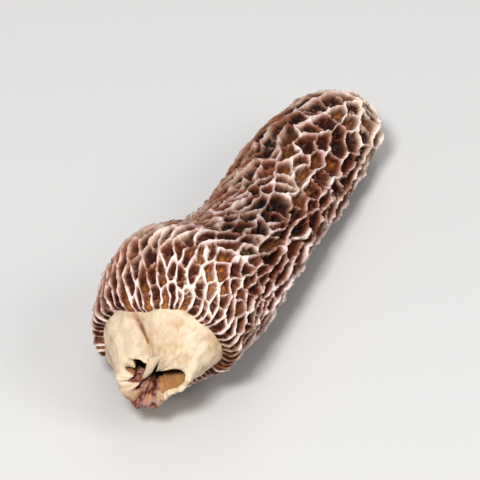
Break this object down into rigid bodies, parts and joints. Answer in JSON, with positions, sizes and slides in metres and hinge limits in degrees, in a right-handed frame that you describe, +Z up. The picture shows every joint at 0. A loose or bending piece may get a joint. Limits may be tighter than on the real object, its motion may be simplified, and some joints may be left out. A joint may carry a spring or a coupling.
{
  "type": "dried black morel mushroom",
  "caption": "Whole hollow dried black morel lying on its side, with a slender pitted and ridged cap and a short cut stem stub.",
  "frame": {"origin": "on the surface that the mushroom lies on, under the middle of its bounding box", "axes": "+X along the mushroom from the cut stem towards the tip of the cap, +Y to the left seen from the stem, +Z up"},
  "size_m": [0.0592, 0.0198, 0.0169],
  "materials": {
    "dried_flesh": "matt, tough and papery, with pale ridge crests, dark brown pits and a cream stem"
  },
  "bodies": {
    "root": {"morel": "dried_flesh"}
  },
  "joints": []
}
